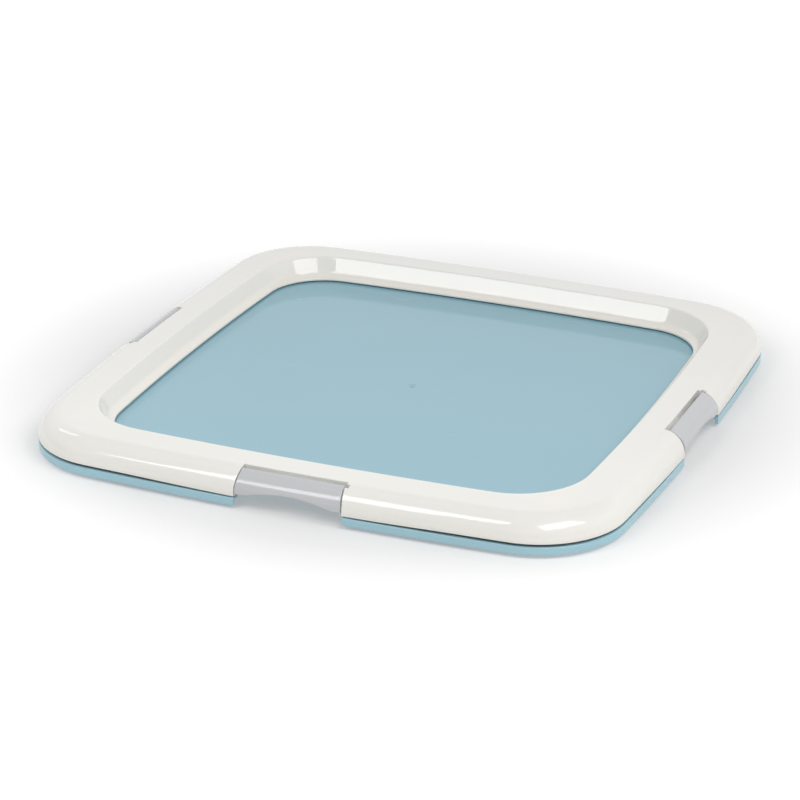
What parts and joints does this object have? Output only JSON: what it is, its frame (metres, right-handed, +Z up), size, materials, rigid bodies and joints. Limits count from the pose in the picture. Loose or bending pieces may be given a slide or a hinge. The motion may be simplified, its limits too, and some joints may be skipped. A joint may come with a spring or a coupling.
{
  "type": "training pad holder",
  "caption": "Low square tray with a rounded clamping frame that lifts off, held down by hinged latches at the middle of its sides, for keeping an absorbent pet training pad flat.",
  "frame": {"origin": "on the ground, under the middle of the tray", "axes": "+Z up, -Y towards the front side, +X towards the right side"},
  "size_m": [0.4794, 0.4797, 0.031],
  "materials": {
    "tray_plastic": "glossy light blue moulded plastic",
    "frame_plastic": "glossy off-white moulded plastic",
    "latch_plastic": "satin light grey moulded plastic",
    "foot_rubber": "matt dark rubber"
  },
  "bodies": {
    "tray": {"base_tray": "tray_plastic", "foot_front_left": "foot_rubber", "foot_front_right": "foot_rubber", "foot_back_left": "foot_rubber", "foot_back_right": "foot_rubber"},
    "frame": {"top_frame": "frame_plastic"},
    "front_latch": {"latch_front": "latch_plastic"},
    "right_latch": {"latch_right": "latch_plastic"},
    "left_latch": {"latch_left": "latch_plastic"}
  },
  "joints": [
    {"name": "frame_lift", "type": "slide", "parent": "tray", "child": "frame", "axis": [0, 0, 1], "range_m": [0, 0.06]},
    {"name": "front_latch_swing", "type": "hinge", "parent": "frame", "child": "front_latch", "pos_m": [0, -0.2274, 0.0263], "axis": [-1, 0, 0], "range_deg": [0, 75]},
    {"name": "right_latch_swing", "type": "hinge", "parent": "frame", "child": "right_latch", "pos_m": [0.2274, 0, 0.0263], "axis": [0, -1, 0], "range_deg": [0, 75]},
    {"name": "left_latch_swing", "type": "hinge", "parent": "frame", "child": "left_latch", "pos_m": [-0.2274, 0, 0.0263], "axis": [0, 1, 0], "range_deg": [0, 75]}
  ]
}
